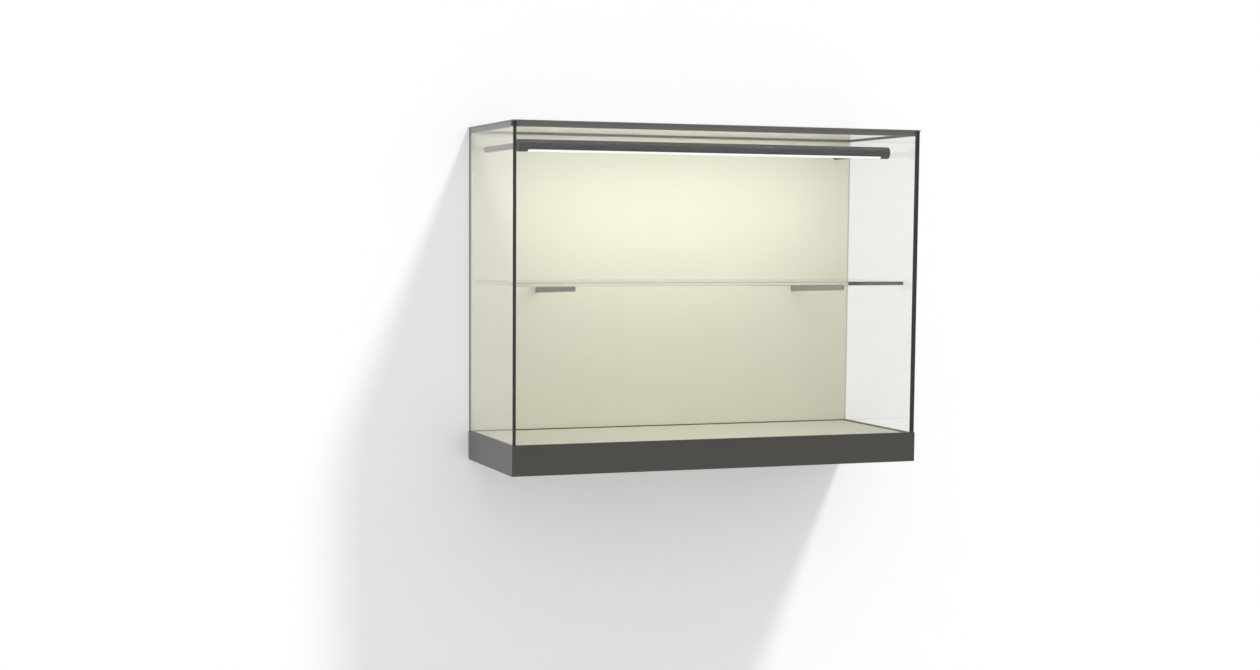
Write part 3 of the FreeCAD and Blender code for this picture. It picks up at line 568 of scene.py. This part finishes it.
# %% [markdown]
# ## The black bead in the corners
#
# Structural silicone is a deep black rubber with a soft shine. A line drawn on the glass would vanish
# edge on, so the bead is a real piece. Its plan is a narrow band along the mitre, square at the outside
# corner and flush with the glass inside.

# %% Corner beads
SKIN_PER_METRE = 220.0
SKIN_POLISH, SKIN_ROUGHNESS = 0.15, 0.35
SKIN_DEPTH = 0.2 * MM


def silicone(name, colour):
    recipe = new_recipe(name)
    skin = noise(recipe, SKIN_PER_METRE)
    rubber = recipe.node("BsdfPrincipled", (), {
        "Base Color": two_tone(recipe, skin, shade_of(colour, 0.8), shade_of(colour, 1.2)),
        "Roughness": skin * SKIN_POLISH + SKIN_ROUGHNESS,
        "Normal": bumped(recipe, skin, strength=0.1, distance=SKIN_DEPTH),
    })
    return recipe.finish(rubber)


black_silicone = silicone("black_silicone", (0.017, 0.017, 0.017))
edge_rubber = silicone("edge_rubber", (0.012, 0.012, 0.012))
clear_rubber = silicone("clear_rubber", (0.76, 0.76, 0.73))
# painted shade: the dark grey of the strip on the shelf's right end
end_shade_paint = silicone("end_shade_paint", (0.055, 0.055, 0.055))


def corner_bead(side):
    low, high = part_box("corner_seal_left")
    half = front_low.x - low.x + BITE
    inner_x, inner_back = low.x + thickness, low.y + thickness
    plan = [(low.x, low.y), (low.x + half, low.y), (inner_x + half, inner_back),
            (inner_x, inner_back), (inner_x, inner_back + half), (low.x, low.y + half)]
    return prism("bead_" + side, mirrored(plan, side), foot, top, black_silicone)


for side in SIDES:
    hood_piece(corner_bead(side), "corner_seal_" + side)
dress(black_silicone, "top_glazing_seal", "setting_blocks", "supply_grommet")
print("beads in", len(SIDES), "corners")

# %% [markdown]
# ## Strips on the bare edges
#
# The back edge of each side pane meets the wall through a rubber strip that grips the glass. The left
# strip is dark and draws the thin line at the case's left outline; the right one is clear. A dark grey
# strip on the right end of the shelf, reaching a little way round its rear corner, is painted shade: the
# front edge shows it from within as a dark band. Each strip bites a little into its glass, as the beads
# do.

# %% Edge strips
GRIP = 3.0 * MM
STRIP_THICKNESS = 0.8 * MM
STRIP_RETURN = 19.0 * MM


def rear_strip(side, rubber):
    low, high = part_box("left_pane")
    wall_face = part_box("rear_seals")[1].y
    plan = rectangle((low.x + AIR / 2, high.x - AIR / 2), (high.y - GRIP, wall_face))
    return prism("rear_strip_" + side, mirrored(plan, side), foot, top, rubber)


# painted shade: a dark grey strip on the shelf's right end and round its rear corner, which the front
# edge shows from within as a dark band
def shelf_shade_strip():
    low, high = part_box("glass_shelf")
    inner_x, outer_x = high.x - BITE, high.x + STRIP_THICKNESS
    inner_y, outer_y = high.y - BITE, high.y + STRIP_THICKNESS
    return_x = high.x - STRIP_RETURN
    plan = [(inner_x, low.y + BITE), (outer_x, low.y + BITE), (outer_x, outer_y),
            (return_x, outer_y), (return_x, inner_y), (inner_x, inner_y)]
    return prism("shelf_shade_strip", plan, low.z + BITE, high.z - BITE, end_shade_paint)


for side, rubber in (("left", edge_rubber), ("right", clear_rubber)):
    hood_piece(rear_strip(side, rubber), "rear_seals")
shade_piece = shelf_shade_strip()
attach(shade_piece, "wall_unit")
print("shelf end strip", round(STRIP_THICKNESS / MM, 1), "mm thick")

# %% [markdown]
# ## The glue behind the top frame
#
# The top frame is glued to the inside of the panes. Glue closes the gap of air, so only the outer face
# of the pane still mirrors the room and the frame looks dark through it. A thin film in the top bars'
# paint, bitten into the pane, does the same; that paint is painted lighter, which is painted light.

# %% Glued faces
FILM_THICKNESS = 0.3 * MM


def glue_film(name, x_range, y_range, z_range):
    film = prism(name, rectangle(x_range, y_range), *z_range, lightened_band_coat)
    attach(film, "hood")


def glue_films():
    low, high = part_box("top_bar_front")
    heights = (low.z, top - AIR)
    face_y = inner_y - BITE
    glue_film("glue_film_front", (low.x, high.x), (face_y, face_y + FILM_THICKNESS), heights)
    for side, sign in (("left", -1), ("right", 1)):
        bar_low, bar_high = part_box("top_bar_" + side)
        face_x = sign * (-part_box("left_pane")[1].x + AIR + BITE)
        x_range = sorted((face_x, face_x - sign * FILM_THICKNESS))
        glue_film("glue_film_" + side, x_range, (bar_low.y, bar_high.y), heights)


glue_films()
print("glue films", round(FILM_THICKNESS / MM, 1), "mm thick")

# %% [markdown]
# ## The light tube
#
# An opal lens closes the underside of the tube. It has to light the back board warmly, but a lens as
# bright as that would leave streaks in every pane. So the lens sends its full light to matt surfaces,
# and shows itself to the camera and in reflections as plain white.
#
# A showcase light is made to wash the back board rather than the visitor. The lens is rounded, so its
# rear flank faces the board, and we make that flank the brighter one. The lens's own normal tells the
# shader how far each point leans back, and the cube of it keeps the extra light on the flank.

# %% Light lens
LENS_LIGHT = 21.0
FLANK_LIGHT = 95.0
LENS_SEEN = 1.05
WARM_WHITE = (1.0, 0.985, 0.95)


def leaning_back(recipe):
    """One at the rear flank of the lens and nothing from its middle to the front."""
    low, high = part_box("light_lens")
    housing_low, housing_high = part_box("light_housing")
    steepest = (high.y - low.y) / (housing_high.y - housing_low.y)
    normal = recipe.node("TexCoord", (), (), "Normal")
    lean = recipe.node("SeparateXYZ", (), {"Vector": normal}, "Y") * (1 / steepest)
    return lean * lean * lean


def glowing_opal():
    recipe = new_recipe("glowing_opal")
    even = recipe.node("Emission", (), {"Color": rgba(WARM_WHITE), "Strength": LENS_LIGHT})
    flank = recipe.node("Emission", (), {"Color": rgba(WARM_WHITE), "Strength": FLANK_LIGHT})
    working = recipe.node("MixShader", (), {0: leaning_back(recipe), 1: even, 2: flank})
    looked_at = recipe.node("Emission", (), {"Color": rgba([1.0] * 3), "Strength": LENS_SEEN})
    seen = any_ray(recipe, *LOOKING)
    return recipe.finish(recipe.node("MixShader", (), {0: seen, 1: working, 2: looked_at}))


dress(glowing_opal(), "light_lens")
lens_low, lens_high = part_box("light_lens")
print("lens length", round(lens_high.x - lens_low.x, 3), "m")

# %% [markdown]
# ## Zinc, nickel and brass
#
# The hidden metal shows when the hood is pulled out and from below: zinc plated sheet and runners,
# nickel plated screws, and two nickel plated locks with brass plugs. Plated sheet has a fine grain
# along its rolling direction, so its noise is stretched along X. The plating itself clouds in patches
# as wide as a hand, so a second, broad noise changes both the shade and the polish.

# %% Plated metals
GRAIN_PER_METRE, CLOUDS_PER_METRE = 700.0, 16.0
ROLLED = (0.06, 1.0, 1.0)
GRAIN_SHARE, CLOUD_SHARE = 0.4, 0.6
CLOUD_SHADES = (0.72, 1.20)
GRAIN_POLISH, CLOUD_POLISH = 0.2, 0.3


def plated(name, colour, roughness):
    recipe = new_recipe(name)
    grain = noise(recipe, GRAIN_PER_METRE, 3.0, ROLLED)
    clouding = noise(recipe, CLOUDS_PER_METRE, 5.0)
    mask = grain * GRAIN_SHARE + clouding * CLOUD_SHARE
    low, high = [shade_of(colour, shade) for shade in CLOUD_SHADES]
    metal = recipe.node("BsdfPrincipled", (), {
        "Base Color": two_tone(recipe, mask, low, high),
        "Metallic": 1.0,
        "Roughness": grain * GRAIN_POLISH + clouding * CLOUD_POLISH
                     + (roughness - (GRAIN_POLISH + CLOUD_POLISH) / 2),
        "Normal": bumped(recipe, grain, strength=0.05, distance=PEEL_DEPTH),
    })
    return recipe.finish(metal)


zinc = plated("zinc", (0.58, 0.59, 0.60), 0.42)
nickel = plated("nickel", (0.66, 0.65, 0.62), 0.22)
brass = plated("brass", (0.72, 0.56, 0.26), 0.28)

runner_parts = ["runner_%s_%s" % (part, side) for part in ("fixed", "middle", "moving", "carrier")
                for side in SIDES]
zinc_parts = ["back_plate", "deck_bearers", *runner_parts, *["lock_cam_" + side for side in SIDES]]
dress(zinc, *zinc_parts)
dress(nickel, "runner_screws", "carrier_screws", "tray_screws", "bracket_screws",
      *["lock_barrel_" + side for side in SIDES])
dress(brass, *["lock_plug_" + side for side in SIDES])
print("zinc on", len(zinc_parts), "parts")

# %% [markdown]
# ## Moulded plastic
#
# The runners' glides are acetal, the shelf stands on soft clear pads, and the lamp's board, driver and
# flat cable are white. Moulded plastic is smooth with a fine spark texture from its tool, which a noise
# as fine as the peel of the paint gives, and its colour drifts a little over a hand's width.

# %% Plastics
SPARK_PER_METRE, DRIFT_PER_METRE = 1500.0, 30.0
SPARK_POLISH = 0.1
SPARK_DEPTH = 0.05 * MM


def moulded(name, colour, roughness):
    recipe = new_recipe(name)
    grain = noise(recipe, SPARK_PER_METRE)
    broad = noise(recipe, DRIFT_PER_METRE)
    plastic = recipe.node("BsdfPrincipled", (), {
        "Base Color": two_tone(recipe, broad, shade_of(colour, 0.96), colour),
        "Roughness": grain * SPARK_POLISH + (roughness - SPARK_POLISH / 2),
        "Normal": bumped(recipe, grain, strength=0.06, distance=SPARK_DEPTH),
    })
    return recipe.finish(plastic)


acetal = moulded("acetal", (0.82, 0.82, 0.79), 0.4)
clear_pad = moulded("clear_pad", (0.70, 0.72, 0.70), 0.35)
white_board = moulded("white_board", (0.80, 0.80, 0.77), 0.5)

dress(acetal, *["runner_glides_" + side for side in SIDES])
dress(clear_pad, "shelf_pads")
dress(white_board, "led_board", "led_driver", "supply_ribbon")
print("finishes made:", len(bpy.data.materials))
